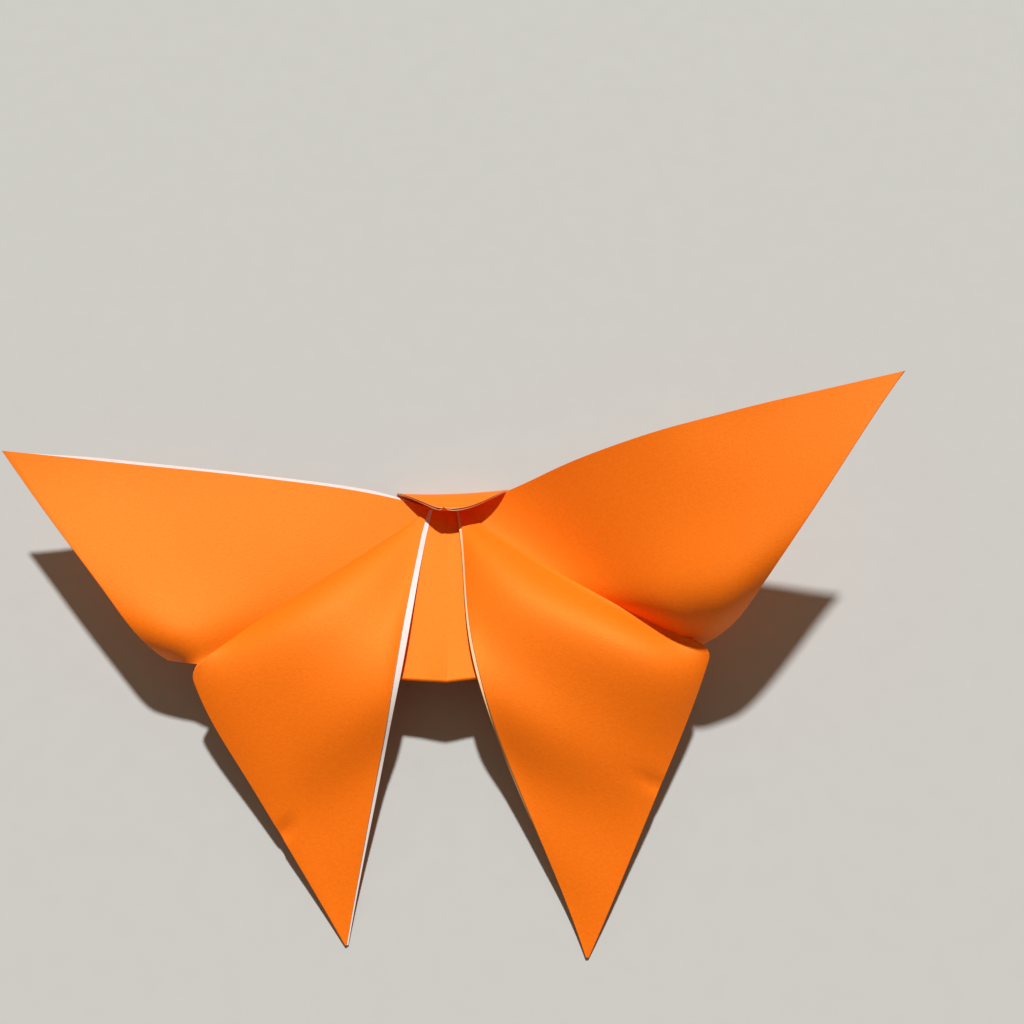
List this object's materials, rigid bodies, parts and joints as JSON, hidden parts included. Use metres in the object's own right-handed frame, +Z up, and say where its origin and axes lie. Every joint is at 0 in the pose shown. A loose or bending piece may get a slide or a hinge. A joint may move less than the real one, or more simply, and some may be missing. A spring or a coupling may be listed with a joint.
{
  "type": "origami butterfly",
  "caption": "Butterfly folded from one square sheet of orange paper, with spread upper wings, lower wings arched down to their tails and a locking tip over the body.",
  "frame": {"origin": "middle of the outline seen from above, on the table the butterfly lies on", "axes": "+X along the span towards the raised wing, +Y towards the leading edges and the locking tip, +Z up from the table"},
  "size_m": [0.1414, 0.0808, 0.0352],
  "materials": {
    "paper": "matte"
  },
  "bodies": {
    "root": {"folded_sheet": "paper"}
  },
  "joints": []
}
